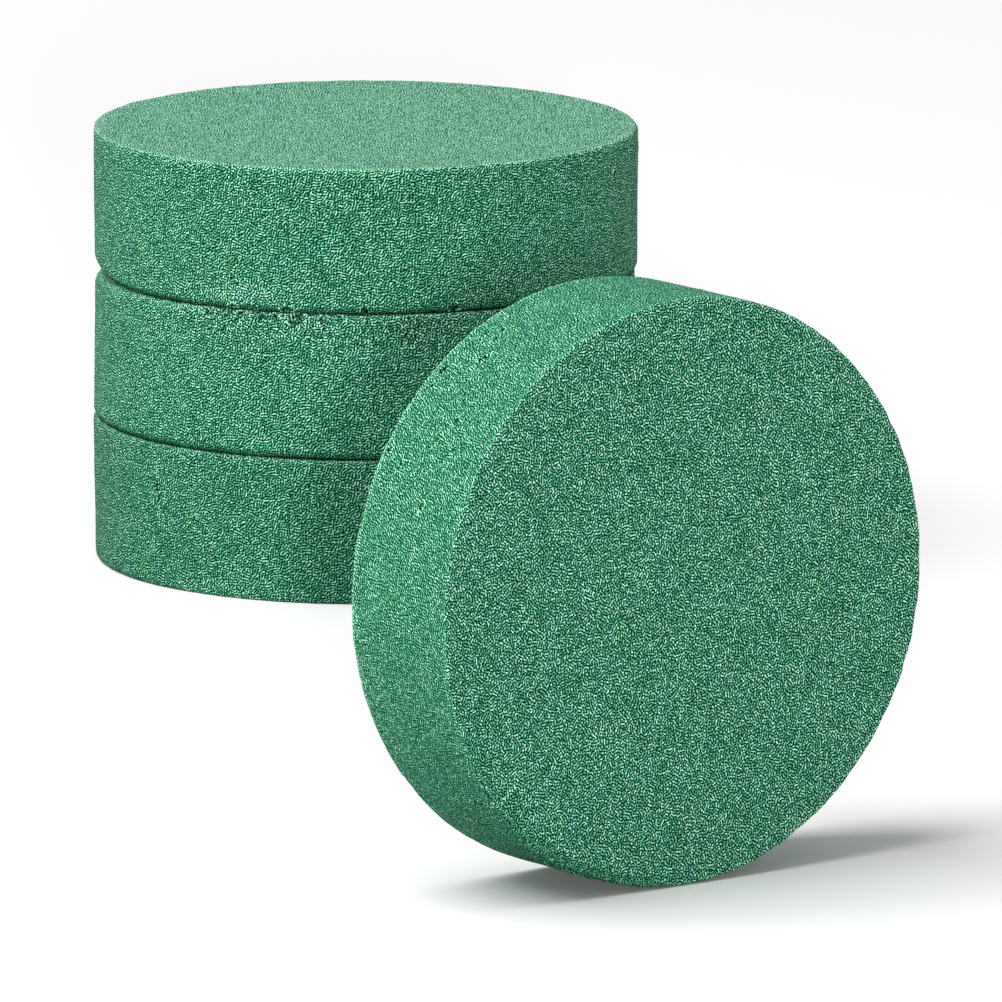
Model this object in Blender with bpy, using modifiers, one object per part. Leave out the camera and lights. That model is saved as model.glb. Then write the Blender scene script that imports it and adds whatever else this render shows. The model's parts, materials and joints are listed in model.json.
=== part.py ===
"""Set of four round floral foam blocks: three stacked flat, and one standing on its rim in front.

Metres, +Z up. The origin is the centre of the stack's base, on the surface that the set stands on.
The stack's axis is Z. The standing round is in front of it, towards -Y, and turned a little to +X.
"""

import math

import bpy

# Every round is sliced from the same round log of foam.
ROUND_RADIUS = 0.075
ROUND_THICKNESS = 0.040

# Edges. A fresh cut leaves a crisp edge, and handling rubs or crumbles the soft foam round.
CUT_EDGE_RADIUS = 0.0010
RUBBED_EDGE_RADIUS = 0.0022
CRUMBLED_EDGE_RADIUS = 0.0040

# Gap between two rounds that rest on each other.
RESTING_GAP = 0.0003

# Where the standing round's front edge meets the surface: how far in front of the stack's axis,
# how far aside of it, and how far the front face is turned from -Y towards +X.
STANDING_DISTANCE = 0.440
STANDING_ASIDE = 0.080
STANDING_TURN = math.radians(36.0)

# How finely the curves are cut into flats.
TURN_STEPS = 80
EDGE_STEPS = 3
MERGE_DISTANCE = 0.00001

# Dry foam's look: linear base colours, and one roughness.
FOAM_ROUGHNESS = 0.93
BOTTOM_COLOUR = (0.062, 0.228, 0.128)
MIDDLE_COLOUR = (0.070, 0.250, 0.142)
TOP_COLOUR = (0.074, 0.262, 0.150)
STANDING_COLOUR = (0.072, 0.256, 0.146)


def clear_scene():
    for old in list(bpy.data.objects):
        bpy.data.objects.remove(old, do_unlink=True)


def make_collection(name):
    collection = bpy.data.collections.new(name)
    bpy.context.scene.collection.children.link(collection)
    return collection


def foam_material(name, colour):
    material = bpy.data.materials.new(name)
    material.use_nodes = True
    shader = material.node_tree.nodes["Principled BSDF"]
    shader.inputs["Base Color"].default_value = (*colour, 1.0)
    shader.inputs["Roughness"].default_value = FOAM_ROUGHNESS
    shader.inputs["Metallic"].default_value = 0.0
    return material


def quarter_arc(centre_x, centre_z, radius, start_angle):
    """Points of a quarter circle in the XZ plane, going clockwise from start_angle."""
    points = []
    for step in range(EDGE_STEPS + 1):
        angle = start_angle - math.pi / 2 * step / EDGE_STEPS
        x = centre_x + radius * math.cos(angle)
        z = centre_z + radius * math.sin(angle)
        points.append((x, 0.0, z))
    return points


def round_profile(upper_edge, lower_edge):
    """Half section of a round: out along the upper face, down the rim, in along the lower face."""
    upper_arc = quarter_arc(
        ROUND_RADIUS - upper_edge, ROUND_THICKNESS - upper_edge, upper_edge, math.pi / 2
    )
    lower_arc = quarter_arc(ROUND_RADIUS - lower_edge, lower_edge, lower_edge, 0.0)
    return [(0.0, 0.0, ROUND_THICKNESS)] + upper_arc + lower_arc + [(0.0, 0.0, 0.0)]


def make_round(name, upper_edge, lower_edge, colour, collection):
    """One foam round on its own Z axis, with its lower face at the object's origin."""
    points = round_profile(upper_edge, lower_edge)
    edges = [(index, index + 1) for index in range(len(points) - 1)]
    mesh = bpy.data.meshes.new(name)
    mesh.from_pydata(points, edges, [])
    foam = bpy.data.objects.new(name, mesh)
    collection.objects.link(foam)
    turn = foam.modifiers.new("turn", "SCREW")
    turn.angle = 2 * math.pi
    turn.steps = TURN_STEPS
    turn.render_steps = TURN_STEPS
    turn.use_merge_vertices = True
    turn.merge_threshold = MERGE_DISTANCE
    turn.use_smooth_shade = False
    foam.data.materials.append(foam_material(name + "_foam", colour))
    return foam


def make_stack(collection):
    """Three rounds on one axis, each resting on the one below."""
    edges_and_colours = (
        ("bottom_round", CUT_EDGE_RADIUS, RUBBED_EDGE_RADIUS, BOTTOM_COLOUR),
        ("middle_round", CRUMBLED_EDGE_RADIUS, CUT_EDGE_RADIUS, MIDDLE_COLOUR),
        ("top_round", CUT_EDGE_RADIUS, CRUMBLED_EDGE_RADIUS, TOP_COLOUR),
    )
    for level, (name, upper_edge, lower_edge, colour) in enumerate(edges_and_colours):
        foam = make_round(name, upper_edge, lower_edge, colour, collection)
        foam.location = (0.0, 0.0, level * (ROUND_THICKNESS + RESTING_GAP))


def make_standing_round(collection):
    """A round on its rim. Its parent empty is on the front edge, where the round tips over."""
    tip_edge = bpy.data.objects.new("tip_edge", None)
    collection.objects.link(tip_edge)
    tip_edge.location = (STANDING_ASIDE, -STANDING_DISTANCE, 0.0)
    tip_edge.rotation_euler = (0.0, 0.0, STANDING_TURN)
    foam = make_round(
        "standing_round", CUT_EDGE_RADIUS, RUBBED_EDGE_RADIUS, STANDING_COLOUR, collection
    )
    foam.parent = tip_edge
    foam.rotation_euler = (math.radians(90.0), 0.0, 0.0)
    foam.location = (0.0, ROUND_THICKNESS, ROUND_RADIUS)


def main():
    clear_scene()
    foam_rounds = make_collection("floral_foam_rounds")
    make_stack(foam_rounds)
    make_standing_round(foam_rounds)


main()
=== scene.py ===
# Four round blocks of floral foam: three stacked flat and one standing on its rim in front.
import json
import math

import bpy
import numpy as np
from mathutils import Matrix, Vector, noise


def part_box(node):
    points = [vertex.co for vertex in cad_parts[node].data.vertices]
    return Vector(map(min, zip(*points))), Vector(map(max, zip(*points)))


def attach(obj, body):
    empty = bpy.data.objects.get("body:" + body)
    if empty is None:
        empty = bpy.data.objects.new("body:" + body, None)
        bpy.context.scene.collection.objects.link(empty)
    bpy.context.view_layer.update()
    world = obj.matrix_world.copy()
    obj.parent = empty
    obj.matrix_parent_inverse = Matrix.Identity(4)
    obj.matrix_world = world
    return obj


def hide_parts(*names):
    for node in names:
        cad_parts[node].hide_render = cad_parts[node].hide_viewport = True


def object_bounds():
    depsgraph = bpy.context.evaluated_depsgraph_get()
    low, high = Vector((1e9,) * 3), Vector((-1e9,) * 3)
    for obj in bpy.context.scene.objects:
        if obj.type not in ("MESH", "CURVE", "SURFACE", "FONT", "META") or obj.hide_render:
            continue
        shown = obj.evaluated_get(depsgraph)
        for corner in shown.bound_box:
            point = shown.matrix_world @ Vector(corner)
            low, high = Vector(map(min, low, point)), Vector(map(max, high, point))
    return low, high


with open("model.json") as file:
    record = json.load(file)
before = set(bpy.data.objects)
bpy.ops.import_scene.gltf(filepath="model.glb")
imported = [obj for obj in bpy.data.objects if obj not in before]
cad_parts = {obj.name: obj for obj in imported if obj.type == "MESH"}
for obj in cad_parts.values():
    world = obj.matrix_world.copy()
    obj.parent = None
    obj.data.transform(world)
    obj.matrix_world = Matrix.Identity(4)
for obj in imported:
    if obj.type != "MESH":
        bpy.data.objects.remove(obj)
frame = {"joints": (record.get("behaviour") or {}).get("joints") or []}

cadLow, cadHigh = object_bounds()
millimetre = 0.001
touching = 0.01 * millimetre    # points closer than this are level with each other
tiny = 1e-9                     # keeps a division from meeting zero


def report(stage):
    print("foam set:", stage)


def deselectAll():
    bpy.ops.object.select_all(action="DESELECT")
    bpy.context.view_layer.objects.active = None


def activate(piece):
    deselectAll()
    piece.select_set(True)
    bpy.context.view_layer.objects.active = piece


def clearSelection(mesh):
    for part in (mesh.vertices, mesh.edges, mesh.polygons):
        part.foreach_set("select", [False] * len(part))


def selectEdges(piece, wanted):
    # wanted gets the places of an edge's two ends
    mesh = piece.data
    clearSelection(mesh)
    for edge in mesh.edges:
        ends = [mesh.vertices[index] for index in edge.vertices]
        if wanted(ends[0].co, ends[1].co):
            edge.select = ends[0].select = ends[1].select = True


def selectFaces(piece, wanted):
    # wanted gets a face's centre and its number of corners
    mesh = piece.data
    clearSelection(mesh)
    for face in mesh.polygons:
        if wanted(face.center, face.loop_total):
            face.select = True
            for index in face.vertices:
                mesh.vertices[index].select = True


def editMesh(piece, mode, work):
    activate(piece)
    bpy.context.tool_settings.mesh_select_mode = (False, mode == "EDGE", mode == "FACE")
    bpy.ops.object.mode_set(mode="EDIT")
    work()
    bpy.ops.object.mode_set(mode="OBJECT")


def readPoints(piece):
    points = np.zeros(len(piece.data.vertices) * 3, np.float32)
    piece.data.vertices.foreach_get("co", points)
    return points.reshape(-1, 3).astype(float)


def writePoints(piece, points):
    piece.data.vertices.foreach_set("co", points.astype(np.float32).ravel())
    piece.data.update()


# a plain block stands on its own axis, lower face at z = 0, with angle 0 at +X
blockMesh = {
    "sides": 540,            # flats round the rim, a multiple of 4
    "rimCuts": 38,           # cuts up the rim between its two edges
    "cutEdge": 0.5 * millimetre,
    "edgeFlats": 3,
}


def plainBlock(name, radius, thickness):
    deselectAll()
    bpy.ops.mesh.primitive_cylinder_add(
        vertices=blockMesh["sides"], radius=radius, depth=thickness,
        end_fill_type="NGON", location=(0, 0, thickness / 2))
    piece = bpy.context.active_object
    piece.name = name
    bpy.ops.object.transform_apply(location=True, rotation=True, scale=True)

    # both circular edges are rounded while each cap is still one face
    selectEdges(piece, lambda a, b: abs(a.z - b.z) < touching)
    editMesh(piece, "EDGE", lambda: bpy.ops.mesh.bevel(
        offset=blockMesh["cutEdge"], segments=blockMesh["edgeFlats"], affect="EDGES"))

    # each cap becomes an even grid
    capRadius = radius - blockMesh["cutEdge"]
    for height in (0.0, thickness):
        selectFaces(piece, lambda centre, corners: corners > 4 and abs(centre.z - height) < touching)
        editMesh(piece, "FACE", lambda: bpy.ops.mesh.delete(type="ONLY_FACE"))
        selectEdges(piece, lambda a, b: (
            abs(a.z - height) + abs(b.z - height) < touching
            and abs(a.to_2d().length - capRadius) < touching))
        editMesh(piece, "EDGE", lambda: bpy.ops.mesh.fill_grid(span=blockMesh["sides"] // 4))

    # and the rim gets its rows
    selectEdges(piece, lambda a, b: abs(a.z - b.z) > thickness / 2)
    editMesh(piece, "EDGE", lambda: bpy.ops.mesh.subdivide(
        number_cuts=blockMesh["rimCuts"], quadcorner="INNERVERT"))
    return piece


def angleGap(angles, middle):
    # shortest way round from middle to each angle, in degrees
    return (np.degrees(angles) - middle + 180) % 360 - 180


def roughness(points, size, seed):
    # smooth noise from -1 to 1 at each point; each seed has its own stretch of it
    offset = Vector((seed * 3.17, seed * 1.31, seed * 2.23))
    return np.array([noise.noise(Vector(point) / size + offset) for point in points])


def edgeDistance(points, radius, thickness, edge):
    # how far each point is in from the rim, and from the face that the edge belongs to
    across = radius - np.hypot(points[:, 0], points[:, 1])
    depth = points[:, 2] if edge["side"] == "lower" else thickness - points[:, 2]
    return across, depth


def outwardOf(points):
    # level direction away from the block's axis
    return points[:, :2] / np.maximum(np.hypot(points[:, 0], points[:, 1]), tiny)[:, None]


def rubEdge(points, radius, thickness, edge):
    # rolls one circular edge over, further where the dictionary's places say
    angles = np.arctan2(points[:, 1], points[:, 0])
    across, depth = edgeDistance(points, radius, thickness, edge)
    roll = np.full(len(points), edge["plain"] * millimetre)
    for angle, spread, size in edge["places"]:
        roll += size * millimetre * np.exp(-(angleGap(angles, angle) / spread) ** 2)
    near = (across < roll) & (depth < roll)
    a = across[near] - roll[near]
    b = depth[near] - roll[near]
    reach = np.hypot(a, b)
    pull = np.where(reach > roll[near], roll[near] / np.maximum(reach, tiny), 1.0)
    newAcross = roll[near] + a * pull
    newDepth = roll[near] + b * pull
    shrink = (radius - newAcross) / np.maximum(radius - across[near], tiny)
    points[near, 0] *= shrink
    points[near, 1] *= shrink
    points[near, 2] = newDepth if edge["side"] == "lower" else thickness - newDepth


crumbs = {
    "coarse": 5.0 * millimetre, "coarseShare": 0.9,
    "fine": 2.2 * millimetre, "fineShare": 0.6,
    "everywhere": 0.35,      # what is lost all along the edge
}


def crumbleEdge(points, radius, thickness, edge, seed):
    # knocks small crumbs off an edge, which leaves its line slightly ragged
    across, depth = edgeDistance(points, radius, thickness, edge)
    band = edge["band"] * millimetre
    near = np.flatnonzero((across < band) & (depth < band))
    fade = (1 - np.clip(across[near] / band, 0, 1)) * (1 - np.clip(depth[near] / band, 0, 1))
    coarse = roughness(points[near], crumbs["coarse"], seed)
    fine = roughness(points[near], crumbs["fine"], seed + 5)
    bite = crumbs["everywhere"] + coarse * crumbs["coarseShare"] + fine * crumbs["fineShare"]
    bite = np.clip(bite, 0, None) * fade * edge["crumbs"] * millimetre
    points[near, :2] -= outwardOf(points[near]) * bite[:, None]
    points[near, 2] += bite * (1 if edge["side"] == "lower" else -1)


markShape = {
    "refined": (1.5, 1.15),         # faces are made smaller out to these shares of a mark's size
    "margin": 0.5,                  # and this many millimetres further
    "reach": 1.6,                   # share of its size that a mark works out to
    "raggedSize": 0.8 * millimetre,
    "steepness": 2.2,
    "waves": 5.0,
    "lipPlace": 0.35, "lipWidth": 0.4, "lipHeight": 0.35,
    # how much painted shade a mark's hollow gets
    "paintedMarkShade": 0.7,
    "ragged": 0.25,                 # how ragged a mark's outline is, where it doesn't say
}


def markFrame(mark, radius, thickness):
    # a mark's centre and its three directions: along the rim, up the rim and out of the foam
    angle = math.radians(mark["angle"])
    out = Vector((math.cos(angle), math.sin(angle), 0))
    along = Vector((-out.y, out.x, 0))
    up = Vector((0, 0, 1))
    centre = out * radius + up * mark["height"] * millimetre
    turn = Matrix.Rotation(math.radians(mark.get("turn", 0)), 3, out)
    along = turn @ along
    up = turn @ up
    if mark.get("onEdge"):
        # the way out of an edge is diagonal
        out = (out + Vector((0, 0, 1 if mark["height"] * millimetre > thickness / 2 else -1))).normalized()
        up = along.cross(out).normalized()
    return centre, along, up, out


def markReach(mark):
    return max(mark["wide"], mark["tall"]) * millimetre


def tearWeight(points, tear):
    # 1 in the middle of a tear, fading to 0 round it
    sideways = angleGap(np.arctan2(points[:, 1], points[:, 0]), tear["angle"]) / tear["spread"]
    height = (points[:, 2] - tear["height"] * millimetre) / (tear["tall"] * millimetre)
    return np.exp(-sideways ** 2 - height ** 2)


def faceMiddles(piece):
    middles = np.zeros(len(piece.data.polygons) * 3, np.float32)
    piece.data.polygons.foreach_get("center", middles)
    return middles.reshape(-1, 3).astype(float)


def refine(piece, chosen):
    # splits the chosen faces in four
    mesh = piece.data
    clearSelection(mesh)
    mesh.polygons.foreach_set("select", chosen)
    editMesh(piece, "FACE", lambda: bpy.ops.mesh.subdivide(number_cuts=1, quadcorner="INNERVERT"))


tearShape = {
    "reach": 2.5 * millimetre,      # how far in from the rim a tear goes
    "curl": 2.6 * millimetre,
    "plain": 0.3, "lumpShare": 1.2, "curlShare": 0.6, "curlSharpness": 5,
    "least": 0.04,                  # weight under which a point stays where it is
    "refined": 0.3,                 # weight from which faces are made smaller
    "shallow": 0.2,                 # a tear no deeper than this keeps its faces
    "bare": 0.8,                    # how much of the skin a tear takes, where it doesn't say
}


def refineWorn(piece, facts, radius, thickness):
    # smaller faces where foam will be torn or marked
    middles = faceMiddles(piece)
    outside = np.hypot(middles[:, 0], middles[:, 1]) > radius - tearShape["reach"]
    torn = np.zeros(len(middles), bool)
    for tear in facts["tears"]:
        if tear["deep"] > tearShape["shallow"]:
            torn |= (tearWeight(middles, tear) > tearShape["refined"]) & outside
    refine(piece, torn)
    for spare in markShape["refined"]:
        middles = faceMiddles(piece)
        marked = np.zeros(len(middles), bool)
        for mark in facts["marks"]:
            centre, along, up, out = (np.array(part) for part in markFrame(mark, radius, thickness))
            offset = middles - centre
            x = offset @ along / ((mark["wide"] * spare + markShape["margin"]) * millimetre)
            y = offset @ up / ((mark["tall"] * spare + markShape["margin"]) * millimetre)
            z = offset @ out / (markReach(mark) * spare + markShape["margin"] * millimetre)
            marked |= x * x + y * y + z * z < 1
        refine(piece, marked)


def cutMarks(points, marks, radius, thickness, seed):
    # presses each mark in, with a ragged outline and a raised lip, and returns painted shade that follows
    # how deep each point went, with a painted highlight on the lip
    sunk = np.zeros(len(points))
    for number, mark in enumerate(marks):
        centre, along, up, out = (np.array(part) for part in markFrame(mark, radius, thickness))
        offset = points - centre
        near = np.flatnonzero((offset ** 2).sum(1) < (markReach(mark) * markShape["reach"]) ** 2)
        if not len(near):
            continue
        x = offset[near] @ along / (mark["wide"] * millimetre)
        y = offset[near] @ up / (mark["tall"] * millimetre)
        x = x + mark.get("wave", 0) * np.sin(y * markShape["waves"] + number)
        ragged = roughness(points[near], markShape["raggedSize"], seed + number)
        ragged = ragged * mark.get("ragged", markShape["ragged"])
        inside = 1 - np.hypot(x, y) + ragged
        press = np.clip(inside * markShape["steepness"], 0, 1)
        press = press * press * (3 - 2 * press)    # eased at both ends
        lip = np.exp(-((inside + markShape["lipPlace"]) / markShape["lipWidth"]) ** 2) * (1 - press)
        push = (press - lip * markShape["lipHeight"]) * mark["deep"] * millimetre
        points[near] -= out * push[:, None]
        # painted shade down in the mark and a painted highlight on its lip
        sunk[near] += press * markShape["paintedMarkShade"] - lip
    return sunk


def tearFoam(points, radius, thickness, tears, seed):
    # patches of rim where the skin of the foam has pulled away in small lumps; returns how bare each point
    # is and how much painted shade it gets
    bare = np.zeros(len(points))
    paintedTearShade = np.zeros(len(points))
    across = radius - np.hypot(points[:, 0], points[:, 1])
    for number, tear in enumerate(tears):
        weight = tearWeight(points, tear) * (across < tearShape["reach"])
        near = np.flatnonzero(weight > tearShape["least"])
        stretched = points[near] * np.array(tear.get("stretch", (1, 1, 1)))
        lumps = roughness(stretched, tear["lump"] * millimetre, seed + number * 7)
        ridges = np.abs(roughness(points[near], tearShape["curl"], seed + number * 7 + 3))
        curls = np.clip(1 - ridges * tearShape["curlSharpness"], 0, 1)
        bite = tearShape["plain"] + lumps * tearShape["lumpShare"] + curls * tearShape["curlShare"]
        bite = np.clip(bite * weight[near] * tear["deep"] * millimetre, 0, None)
        points[near, :2] -= outwardOf(points[near]) * bite[:, None]
        bare = np.maximum(bare, weight * tear.get("bare", tearShape["bare"]))
        paintedTearShade = np.maximum(paintedTearShade, weight * tear.get("paintedTearShade", 0))
    return bare, paintedTearShade


def mapSkin(piece, radius, thickness):
    # flat coordinates for the grain: x and y on the cut faces, round and up on the rim
    mesh = piece.data
    points = readPoints(piece)
    corners = np.zeros(len(mesh.loops), np.int64)
    mesh.loops.foreach_get("vertex_index", corners)
    sizes = np.zeros(len(mesh.polygons), np.int64)
    mesh.polygons.foreach_get("loop_total", sizes)
    middles = np.repeat(faceMiddles(piece), sizes, 0)
    places = points[corners]
    fromRim = radius - np.hypot(middles[:, 0], middles[:, 1])
    onRim = fromRim < np.minimum(middles[:, 2], thickness - middles[:, 2])
    middleAngle = np.arctan2(middles[:, 1], middles[:, 0])
    turn = (np.arctan2(places[:, 1], places[:, 0]) - middleAngle + math.pi) % (2 * math.pi) - math.pi
    skin = places.copy()
    skin[onRim, 0] = radius * (middleAngle + turn)[onRim]
    skin[onRim, 1] = places[onRim, 2]
    skin[:, 2] = 0
    layer = mesh.attributes.new("skin", "FLOAT_VECTOR", "CORNER")
    layer.data.foreach_set("vector", skin.astype(np.float32).ravel())


edgeLightReach = 0.7 * millimetre    # how quickly an edge's painted band fades: a painted highlight, partly paler worn foam, or painted shade where the value is below zero


def wearBlock(piece, radius, thickness, facts):
    refineWorn(piece, facts, radius, thickness)
    mapSkin(piece, radius, thickness)
    points = readPoints(piece)
    plain = points.copy()
    angles = np.arctan2(points[:, 1], points[:, 0])

    # not quite round, and the rim slants very slightly
    swell = sum(size * millimetre * np.cos(count * angles - math.radians(phase))
                for count, size, phase in facts["outOfRound"])
    slant = facts["slant"] * millimetre * (points[:, 2] / thickness - 0.5)
    share = np.hypot(points[:, 0], points[:, 1]) / radius
    grow = 1 + (swell + slant) * share ** 3 / radius
    points[:, 0] *= grow
    points[:, 1] *= grow

    edgeWearAndLight = np.zeros(len(points))
    nearestFace = np.full(len(points), thickness)
    for number, edge in enumerate(facts["edges"]):
        across, depth = edgeDistance(plain, radius, thickness, edge)
        nearestFace = np.minimum(nearestFace, depth)
        # each edge gets a band of painted highlight (partly paler rubbed foam), or of painted shade where
        # its value is below zero
        edgeWearAndLight += edge["wearAndEdgeLight"] * np.exp(-np.maximum(across, depth) / edgeLightReach)
        rubEdge(points, radius, thickness, edge)
        crumbleEdge(points, radius, thickness, edge, facts["seed"] + number)
    bare, paintedTearShade = tearFoam(points, radius, thickness, facts["tears"], facts["seed"] + 20)
    sunk = cutMarks(points, facts["marks"], radius, thickness, facts["seed"] + 40)
    points[:, 2] = np.clip(points[:, 2], 0, thickness)    # no lip stands proud of a cut face
    writePoints(piece, points)

    # what the finish needs to know: how much of the rim's smooth skin is left, each edge's painted
    # highlight (partly paler wear) and painted shade, and the painted shade in marks and torn patches with
    # lighter lips
    layers = {
        "rim": (across < nearestFace) * (1 - bare),
        "edge": edgeWearAndLight,
        "sunk": np.clip(sunk, -1, 1) + paintedTearShade,
    }
    for name, values in layers.items():
        layer = piece.data.attributes.new(name, "FLOAT", "POINT")
        layer.data.foreach_set("value", values.astype(np.float32))


relief = [
    {"name": "hollows", "size": 16 * millimetre, "height": 0.22 * millimetre},
    {"name": "lumps", "size": 6.0 * millimetre, "height": 0.10 * millimetre},
    {"name": "cells", "size": 2.4 * millimetre, "height": 0.07 * millimetre},
]


reliefMiddle = 0.72    # above a half, so that more foam is lost than added


def addRelief(piece):
    for layer in relief:
        texture = bpy.data.textures.new(layer["name"], "CLOUDS")
        texture.noise_scale = layer["size"]
        texture.noise_depth = 1
        push = piece.modifiers.new(layer["name"], "DISPLACE")
        push.texture = texture
        push.texture_coords = "GLOBAL"
        push.strength = layer["height"]
        push.mid_level = reliefMiddle
    activate(piece)
    for layer in relief:
        bpy.ops.object.modifier_apply(modifier=layer["name"])


def blockSize():
    # every block is cut to the size of the lowest one
    low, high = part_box("bottom_round")
    return (high.x - low.x) / 2, high.z - low.z


def stackPlace(node):
    low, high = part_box(node)
    return Matrix.Translation(((low.x + high.x) / 2, (low.y + high.y) / 2, low.z))


def standingPlace(radius, thickness):
    # on its rim, with its upper face to the front of the edge that it tips over
    tip = next(joint for joint in frame["joints"] if joint["name"] == "standing_tip")
    heading = math.atan2(tip["axis"][1], tip["axis"][0])
    return (Matrix.Translation(tip["pos_m"])
            @ Matrix.Rotation(heading, 4, "Z")
            @ Matrix.Translation((0, thickness, radius))
            @ Matrix.Rotation(math.radians(90), 4, "X"))


smoothAngle = math.radians(50)


def foamBlock(facts, place):
    radius, thickness = blockSize()
    piece = plainBlock(facts["name"], radius, thickness)
    wearBlock(piece, radius, thickness, facts)
    piece.data.transform(place)
    addRelief(piece)
    activate(piece)
    bpy.ops.object.shade_smooth_by_angle(angle=smoothAngle)
    piece.data.materials.clear()
    piece.data.materials.append(foamFinish(facts["name"] + "Foam", facts["finish"]))
    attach(piece, facts["body"])
    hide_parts(facts["node"])
    report(facts["name"] + ", " + str(len(piece.data.polygons)) + " faces")
    return piece


class Flow:
    # a node socket that takes part in arithmetic
    def __init__(self, tree, socket=None):
        self.tree = tree
        self.socket = socket

    def node(self, kind, settings, sockets, output=0):
        made = self.tree.nodes.new(kind)
        for name, value in settings.items():
            if name == "stops":
                self.setStops(made.color_ramp, value)
            else:
                setattr(made, name, value)
        for name, value in sockets.items():
            if isinstance(value, Flow):
                self.tree.links.new(value.socket, made.inputs[name])
            else:
                made.inputs[name].default_value = value
        return Flow(self.tree, made.outputs[output])

    @staticmethod
    def setStops(ramp, stops):
        while len(ramp.elements) < len(stops):
            ramp.elements.new(0.5)
        for element, (position, colour) in zip(ramp.elements, stops):
            element.position = position
            element.color = (*colour, 1.0)

    def maths(self, operation, first, second):
        return self.node("ShaderNodeMath", {"operation": operation}, {0: first, 1: second})

    def __add__(self, other):
        return self.maths("ADD", self, other)

    def __radd__(self, other):
        return self.maths("ADD", other, self)

    def __sub__(self, other):
        return self.maths("SUBTRACT", self, other)

    def __rsub__(self, other):
        return self.maths("SUBTRACT", other, self)

    def __mul__(self, other):
        return self.maths("MULTIPLY", self, other)

    def __rmul__(self, other):
        return self.maths("MULTIPLY", other, self)

    def within(self, low, high):
        return self.node("ShaderNodeMapRange", {}, {
            "Value": self, "From Min": low, "From Max": high, "To Min": 0.0, "To Max": 1.0})


grain = {
    "mazeSize": 1.6 * millimetre, "mazeLines": 2.1, "mazeRange": (0.43, 0.57),
    "rimAlign": 0.3, "rimTurn": math.radians(-55),    # the maze leans one way on the rim
    "speckSize": 0.95 * millimetre, "speckShare": 0.24, "speckRange": (0.34, 0.66),
    "blotchSize": 4.5 * millimetre, "blotchShare": 0.07, "blotchRange": (0.30, 0.70),
    # strength of the painted shade in marks and torn patches
    "paintedShadeStrength": 0.12,
    "patchSize": 7 * millimetre, "patchShare": 0.6, "patchRange": (0.35, 0.75),
    "patchColour": (1.0, 1.0, 0.80),
    "rough": 0.90, "roughRange": 0.08, "shine": 0.10,
    "pitSize": 0.7 * millimetre, "pitDepth": 0.35 * millimetre, "pitStrength": 0.5,
    "pitRange": (0.30, 0.70),
}


def foamFinish(name, finish):
    material = bpy.data.materials.new(name)
    material.use_nodes = True
    tree = material.node_tree
    shader = tree.nodes["Principled BSDF"]
    start = Flow(tree)
    place = start.node("ShaderNodeTexCoord", {}, {}, "Object")

    def cloud(size, detail):
        return start.node("ShaderNodeTexNoise", {}, {"Vector": place, "Scale": 1 / size, "Detail": detail})

    def layer(attribute):
        return start.node("ShaderNodeAttribute", {"attribute_name": attribute}, {}, "Fac")

    rim, edge, sunk = layer("rim"), layer("edge"), layer("sunk")

    # open cells: a fine maze of pale walls and dark mouths
    skin = start.node("ShaderNodeAttribute", {"attribute_name": "skin"}, {}, "Vector")
    maze = start.node("ShaderNodeTexGabor", {"gabor_type": "2D"}, {
        "Vector": skin, "Scale": 1 / grain["mazeSize"], "Frequency": grain["mazeLines"],
        "Anisotropy": rim * grain["rimAlign"], "Orientation": grain["rimTurn"]}, "Value")
    maze = maze.within(*grain["mazeRange"])
    specks = start.node("ShaderNodeTexNoise", {"noise_dimensions": "2D"}, {
        "Vector": skin, "Scale": 1 / grain["speckSize"], "Detail": 2.0}).within(*grain["speckRange"])
    walls = maze * (1 - grain["speckShare"]) + specks * grain["speckShare"] - 0.5
    walls = walls * (1 - rim * (1 - finish["rimGrain"])) + 0.5

    # edges carry a painted highlight, partly paler wear, and lower ones painted shade; marks carry painted
    # shade in their hollows and a painted highlight on their lips; and the tone varies a little all over
    blotches = cloud(grain["blotchSize"], 3.0).within(*grain["blotchRange"])
    level = walls + (blotches - 0.5) * grain["blotchShare"] + edge - sunk * grain["paintedShadeStrength"]
    # painted light: the standing block's rim and the top block's cut faces are made lighter
    level = level + rim * finish["paintedRimLight"] + (1 - rim) * finish["paintedFaceLight"]
    colour = start.node("ShaderNodeValToRGB", {"stops": finish["tones"]}, {"Fac": level}, "Color")
    # the rim is multiplied by its tint: the skin's own green, plus painted shade on the bottom block and
    # painted light on the standing block
    tint = start.node("ShaderNodeMix", {"data_type": "RGBA", "blend_type": "MULTIPLY"}, {
        0: rim, 6: colour, 7: (*finish["rimColour"], 1.0)}, 2)

    # some patches lean to yellow
    patches = cloud(grain["patchSize"], 2.0).within(*grain["patchRange"])
    leaning = start.node("ShaderNodeMix", {"data_type": "RGBA", "blend_type": "MULTIPLY"}, {
        0: patches * grain["patchShare"], 6: tint, 7: (*grain["patchColour"], 1.0)}, 2)
    tree.links.new(leaning.socket, shader.inputs["Base Color"])

    rough = grain["rough"] + walls * grain["roughRange"]
    tree.links.new(rough.socket, shader.inputs["Roughness"])
    shader.inputs["Metallic"].default_value = 0.0
    shader.inputs["Specular IOR Level"].default_value = grain["shine"]

    pits = cloud(grain["pitSize"], 1.0).within(*grain["pitRange"])
    bump = start.node("ShaderNodeBump", {}, {
        "Strength": grain["pitStrength"], "Distance": grain["pitDepth"], "Height": pits})
    tree.links.new(bump.socket, shader.inputs["Normal"])
    return material


# from the dark mouths of the cells to their pale walls
foamTones = [
    (0.05, (0.0004, 0.0045, 0.0018)),
    (0.27, (0.0011, 0.021, 0.008)),
    (0.50, (0.006, 0.092, 0.042)),
    (0.70, (0.022, 0.195, 0.105)),
    (0.86, (0.098, 0.420, 0.265)),
    (0.99, (0.520, 0.930, 0.740)),
]

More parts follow.
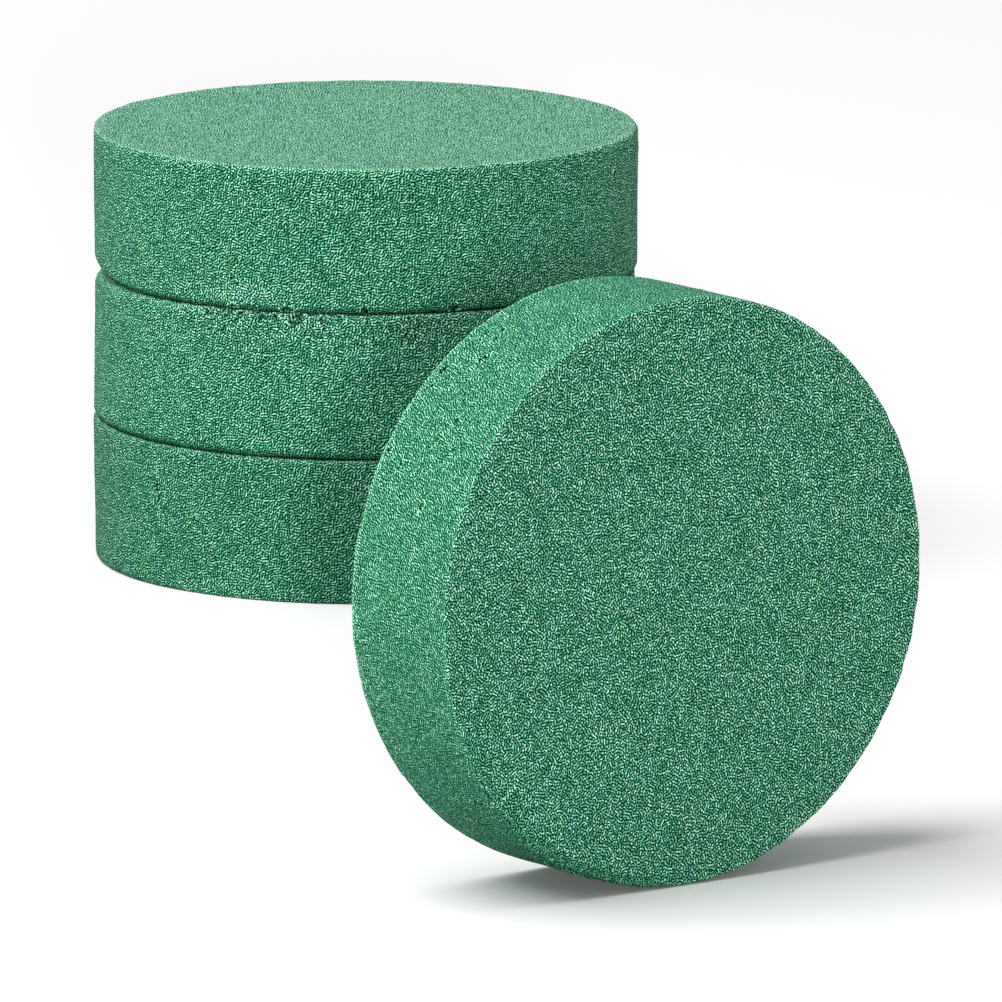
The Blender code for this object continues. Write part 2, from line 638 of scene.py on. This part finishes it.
foamDefaults = {
    # the two lifts paint light onto the cut faces and onto the rim; none by default
    "tones": foamTones, "paintedFaceLight": 0.0, "paintedRimLight": 0.0,
    "rimGrain": 1.0,                    # contrast of the rim's grain against the cut faces'
    "rimColour": (0.82, 0.95, 0.90),
}


def scatter(seed, count, angles, heights, wide, tall, deep, turn, wave=0.3):
    # small marks at random places, each range as its two ends
    chance = np.random.RandomState(seed)
    ranges = {"angle": angles, "height": heights, "wide": wide, "tall": tall, "deep": deep, "turn": turn}
    return [dict({name: float(chance.uniform(*ends)) for name, ends in ranges.items()}, wave=wave)
            for _ in range(count)]


def edgeChips(height, size, places):
    # small chips along an edge, each place an angle and a width
    return [{"angle": angle, "height": height, "wide": wide, "tall": size, "deep": size,
             "onEdge": True, "ragged": 0.4} for angle, wide in places]


def dashes(turn, tall, places):
    # slots pressed in side by side, each place an angle, a height, a width and a depth
    return [{"angle": angle, "height": height, "wide": wide, "tall": tall, "deep": deep, "turn": turn}
            for angle, height, wide, deep in places]


# angles are in degrees, and every size in a block's dictionary is in millimetres
bottomRound = {
    "name": "bottomFoamRound", "node": "bottom_round", "body": "bottom_block", "slot": "bottom_foam",
    # its rim tinted darker: painted shade low in the stack
    "seed": 1, "finish": dict(foamDefaults, rimColour=(0.70, 0.83, 0.77)), "slant": 0.5,
    "outOfRound": [(2, 0.25, 30), (3, 0.18, 110), (7, 0.07, 0)],
    # lower edge darkened with painted shade; upper edge paler with a painted highlight, partly rubbed wear
    "edges": [
        {"side": "lower", "wearAndEdgeLight": -0.10, "plain": 0.9, "places": [(-150, 35, 0.7), (60, 50, 1.2)],
         "band": 2.4, "crumbs": 0.25},
        {"side": "upper", "wearAndEdgeLight": 0.10, "plain": 0.8, "places": [(120, 40, 1.2)],
         "band": 1.8, "crumbs": 0.18},
    ],
    "tears": [
        {"angle": -125, "spread": 16, "height": 2.0, "tall": 3.0, "lump": 3.0, "deep": 0.30},
        {"angle": 95, "spread": 14, "height": 36.0, "tall": 5.0, "lump": 2.4, "deep": 0.60},
    ],
    "marks": [
        {"angle": -139.5, "height": 27.0, "wide": 0.4, "tall": 4.2, "deep": 0.35, "turn": 4, "wave": 0.3},
        {"angle": -137.6, "height": 22.5, "wide": 0.35, "tall": 2.8, "deep": 0.3, "turn": -5, "wave": 0.3},
        {"angle": 20, "height": 30.0, "wide": 3.0, "tall": 0.8, "deep": 0.6, "turn": 18},
        {"angle": 140, "height": 39.5, "wide": 3.2, "tall": 2.2, "deep": 1.3,
         "onEdge": True, "ragged": 0.4},
    ] + scatter(11, 6, (-130, -70), (8, 34), (0.3, 0.5), (0.6, 1.2), (0.25, 0.4), (-60, 60))
    + scatter(12, 12, (-60, 170), (4, 36), (0.4, 0.9), (0.5, 1.6), (0.3, 0.7), (-90, 90)),
}

middleRound = {
    "name": "middleFoamRound", "node": "middle_round", "body": "middle_block", "slot": "middle_foam",
    "seed": 2, "finish": foamDefaults, "slant": -0.6,
    "outOfRound": [(2, 0.30, 100), (3, 0.15, 200), (5, 0.10, 40)],
    # lower edge darkened with painted shade; upper edge paler with a painted highlight, partly rubbed wear
    "edges": [
        {"side": "lower", "wearAndEdgeLight": -0.35, "plain": 0.8, "places": [(50, 40, 1.4)],
         "band": 1.8, "crumbs": 0.18},
        {"side": "upper", "wearAndEdgeLight": 0.12, "plain": 1.0,
         "places": [(-180, 26, 3.6), (-112, 14, 0.7), (95, 60, 1.6)], "band": 2.8, "crumbs": 0.45},
    ],
    "tears": [
        {"angle": -110, "spread": 15, "height": 37.0, "tall": 5.0, "lump": 2.4, "deep": 0.70,
         "stretch": (1, 1, 0.8)},
        {"angle": -84, "spread": 8, "height": 36.0, "tall": 6.0, "lump": 2.0, "deep": 0.60,
         "stretch": (1, 1, 0.55)},
        {"angle": 30, "spread": 14, "height": 5.0, "tall": 5.0, "lump": 2.6, "deep": 0.55},
    ],
    "marks": [
        {"angle": -104.7, "height": 39.4, "wide": 2.3, "tall": 2.0, "deep": 2.2,
         "onEdge": True, "ragged": 0.3},
        {"angle": -124.7, "height": 39.6, "wide": 1.7, "tall": 1.4, "deep": 1.3,
         "onEdge": True, "ragged": 0.4},
        {"angle": -80.8, "height": 37.8, "wide": 0.4, "tall": 2.2, "deep": 0.8, "turn": 10, "wave": 0.4},
        {"angle": -81.4, "height": 34.6, "wide": 0.4, "tall": 2.2, "deep": 0.7, "turn": -12, "wave": 0.4},
        {"angle": -78.9, "height": 37.0, "wide": 0.35, "tall": 2.6, "deep": 0.6, "turn": 8, "wave": 0.4},
        {"angle": -79.6, "height": 33.4, "wide": 0.35, "tall": 1.8, "deep": 0.5, "turn": -10, "wave": 0.4},
        {"angle": 15, "height": 18.0, "wide": 0.6, "tall": 4.0, "deep": 0.6, "turn": -12, "wave": 0.3},
        {"angle": 100, "height": 0.8, "wide": 3.4, "tall": 2.2, "deep": 1.4, "onEdge": True, "ragged": 0.4},
    ] + edgeChips(39.6, 1.0, [
        (-120.5, 1.0), (-117.0, 1.4), (-112.5, 0.9), (-109.0, 1.2), (-99.0, 1.5), (-95.5, 1.0)])
    + scatter(21, 16, (-126, -92), (32.5, 38), (0.3, 0.40), (1.2, 2.4), (0.2, 0.4), (-75, 75), 0.5)
    + scatter(22, 9, (-92, -66), (33, 38.5), (0.3, 0.4), (0.8, 1.8), (0.3, 0.5), (-60, 60), 0.5)
    + scatter(23, 5, (-160, -70), (6, 28), (0.3, 0.5), (0.5, 1.2), (0.25, 0.4), (-60, 60))
    + scatter(24, 10, (-55, 170), (4, 36), (0.4, 0.9), (0.5, 1.6), (0.3, 0.7), (-90, 90)),
}

topRound = {
    "name": "topFoamRound", "node": "top_round", "body": "top_block", "slot": "top_foam",
    # its upper face lifted lighter: painted light from above
    "seed": 3, "finish": dict(foamDefaults, paintedFaceLight=0.06), "slant": 0.3,
    "outOfRound": [(2, 0.22, 60), (3, 0.20, 20), (6, 0.06, 10)],
    # lower edge darkened with painted shade; upper edge paler with a painted highlight, partly rubbed wear
    "edges": [
        {"side": "lower", "wearAndEdgeLight": -0.35, "plain": 1.1, "places": [(-180, 24, 4.2), (80, 60, 1.8)],
         "band": 2.2, "crumbs": 0.28},
        {"side": "upper", "wearAndEdgeLight": 0.16, "plain": 0.6, "places": [(35, 30, 0.6)],
         "band": 1.6, "crumbs": 0.14},
    ],
    "tears": [
        {"angle": -118, "spread": 12, "height": 4.0, "tall": 4.0, "lump": 2.6, "deep": 0.22},
        {"angle": 70, "spread": 14, "height": 8.0, "tall": 6.0, "lump": 2.6, "deep": 0.50},
    ],
    "marks": [
        {"angle": -150.8, "height": 23.4, "wide": 0.5, "tall": 1.5, "deep": 0.6, "turn": 14},
        {"angle": -150.2, "height": 22.0, "wide": 0.4, "tall": 1.0, "deep": 0.5, "turn": 14},
        {"angle": -118.8, "height": 8.8, "wide": 0.7, "tall": 1.1, "deep": 0.6, "turn": -10},
        {"angle": -118.0, "height": 7.0, "wide": 0.5, "tall": 0.9, "deep": 0.5, "turn": 20},
        {"angle": -60.5, "height": 27.8, "wide": 0.8, "tall": 1.0, "deep": 0.9},
        {"angle": -60.9, "height": 30.2, "wide": 0.35, "tall": 1.5, "deep": 0.4},
        {"angle": -24.1, "height": 31.3, "wide": 0.4, "tall": 2.4, "deep": 0.5, "turn": 3},
        {"angle": 60, "height": 20.0, "wide": 2.2, "tall": 0.7, "deep": 0.6, "turn": 30},
        {"angle": 170, "height": 0.8, "wide": 2.8, "tall": 2.0, "deep": 1.2, "onEdge": True, "ragged": 0.4},
    ] + edgeChips(0.4, 0.9, [
        (-128.0, 1.0), (-119.0, 1.3), (-114.0, 1.0), (-106.5, 1.6), (-90.0, 0.9), (-71.0, 1.2)])
    + scatter(31, 7, (-150, -40), (4, 34), (0.3, 0.5), (0.5, 1.2), (0.25, 0.4), (-60, 60))
    + scatter(32, 12, (-20, 165), (4, 36), (0.4, 0.9), (0.5, 1.6), (0.3, 0.7), (-90, 90)),
}

standingRound = {
    "name": "standingFoamRound", "node": "standing_round", "body": "standing_block",
    "slot": "standing_foam", "seed": 4, "slant": 0.2,
    # its rim lifted and tinted lighter: painted light
    "finish": dict(foamDefaults, paintedRimLight=0.035, rimGrain=0.88, rimColour=(0.90, 1.0, 0.96)),
    "outOfRound": [(2, 0.30, 90), (3, 0.25, 0), (5, 0.08, 0)],
    # both edges paler with a painted highlight, partly rubbed wear
    "edges": [
        {"side": "lower", "wearAndEdgeLight": 0.30, "plain": 0.8, "places": [(-120, 30, 1.2), (30, 50, 1.0)],
         "band": 2.0, "crumbs": 0.2},
        {"side": "upper", "wearAndEdgeLight": 0.08, "plain": 0.6, "places": [(-112, 18, 2.0)],
         "band": 2.2, "crumbs": 0.25},
    ],
    "tears": [
        {"angle": -111, "spread": 17, "height": 34.0, "tall": 7.0, "lump": 3.0, "deep": 0.65,
         "stretch": (1, 1, 1.8)},
        {"angle": -140, "spread": 14, "height": 36.0, "tall": 4.0, "lump": 2.2, "deep": 0.35},
        {"angle": 128, "spread": 16, "height": 14.0, "tall": 14.0, "lump": 2.6, "deep": 0.18,
         "bare": 0.15},
        # at the foot of the rim, beside the floor: bare skin with painted shade
        {"angle": -118, "spread": 34, "height": 24.0, "tall": 26.0, "lump": 3.4, "deep": 0.10,
         "bare": 0.9, "paintedTearShade": 0.9},
    ],
    "marks": dashes(-18, 0.50, [
        (126.2, 14.0, 2.3, 1.00), (124.9, 23.5, 1.6, 0.75), (130.5, 4.1, 1.6, 0.80),
        (133.8, 4.7, 1.4, 0.70), (145.2, 18.8, 1.8, 0.80), (140.5, 22.0, 1.4, 0.60),
        (149.7, 2.2, 1.7, 0.80), (158.6, 23.0, 1.5, 0.65), (119.6, 6.0, 1.5, 0.65),
        (152.0, 9.0, 1.4, 0.60),
    ]) + [
        {"angle": -140.6, "height": 31.0, "wide": 0.4, "tall": 8.0, "deep": 0.4, "turn": 3, "wave": 0.2},
        {"angle": -133.0, "height": 24.0, "wide": 0.4, "tall": 4.5, "deep": 0.4, "turn": -4, "wave": 0.3},
        {"angle": -20, "height": 22.0, "wide": 1.6, "tall": 0.8, "deep": 0.7},
        {"angle": 40, "height": 1.0, "wide": 2.6, "tall": 2.0, "deep": 1.2, "onEdge": True, "ragged": 0.4},
    ] + scatter(41, 14, (108, 175), (2, 30), (0.8, 1.3), (0.34, 0.42), (0.4, 0.55), (-35, -5))
    + scatter(42, 8, (-130, -95), (28, 38), (1.2, 2.6), (0.35, 0.45), (0.4, 0.7), (-20, 20), 0.4)
    + scatter(43, 9, (-80, 90), (4, 36), (0.4, 0.9), (0.5, 1.4), (0.3, 0.6), (-90, 90)),
}

for facts in (bottomRound, middleRound, topRound):
    foamBlock(facts, stackPlace(facts["node"]))
foamBlock(standingRound, standingPlace(*blockSize()))


studio = {
    "floorSize": 40.0,
    "floorColour": (0.73, 0.73, 0.73, 1.0),
    "floorRoughness": 0.9,
    "skyColour": (1.0, 1.0, 1.0, 1.0),
    "skyStrength": 0.40,
    "lights": [
        {"name": "keyLight", "place": (-2.6, -1.3, 5.3), "size": 5.0, "power": 510.0},
        {"name": "frontLight", "place": (0.17, -4.5, 0.79), "size": 0.16, "power": 100.0},
    ],
    "aim": (0.03, -0.2, 0.05),
}


def makeStudio():
    deselectAll()
    bpy.ops.mesh.primitive_plane_add(size=studio["floorSize"], location=(0, 0, cadLow.z))
    floor = bpy.context.active_object
    floor.name = "floor"
    paint = bpy.data.materials.new("floorPaint")
    paint.use_nodes = True
    shader = paint.node_tree.nodes["Principled BSDF"]
    shader.inputs["Base Color"].default_value = studio["floorColour"]
    shader.inputs["Roughness"].default_value = studio["floorRoughness"]
    floor.data.materials.append(paint)

    sky = bpy.data.worlds.new("studioSky")
    sky.use_nodes = True
    background = sky.node_tree.nodes["Background"]
    background.inputs["Color"].default_value = studio["skyColour"]
    background.inputs["Strength"].default_value = studio["skyStrength"]
    bpy.context.scene.world = sky

    for facts in studio["lights"]:
        deselectAll()
        bpy.ops.object.light_add(type="AREA", location=facts["place"])
        light = bpy.context.active_object
        light.name = facts["name"]
        light.data.size = facts["size"]
        light.data.energy = facts["power"]
        aim = Vector(studio["aim"]) - Vector(facts["place"])
        light.rotation_euler = aim.to_track_quat("-Z", "Y").to_euler()


view = {
    "distance": 4.5,       # from the stack's axis
    "elevation": 11.0,
    "aim": (0.0375, 0.0, 0.0145),
    "lens": 593.5,
    "sensor": 36.0,
    "farthest": 100.0,
}


def makeCamera():
    deselectAll()
    height = view["distance"] * math.tan(math.radians(view["elevation"]))
    bpy.ops.object.camera_add(location=(0, -view["distance"], height))
    camera = bpy.context.active_object
    camera.name = "studioCamera"
    camera.data.lens = view["lens"]
    camera.data.sensor_width = view["sensor"]
    camera.data.clip_end = view["farthest"]
    aim = Vector(view["aim"]) - camera.location
    camera.rotation_euler = aim.to_track_quat("-Z", "Y").to_euler()
    bpy.context.scene.camera = camera


makeStudio()
makeCamera()
bpy.context.scene.view_settings.view_transform = "Standard"
report("studio and camera")
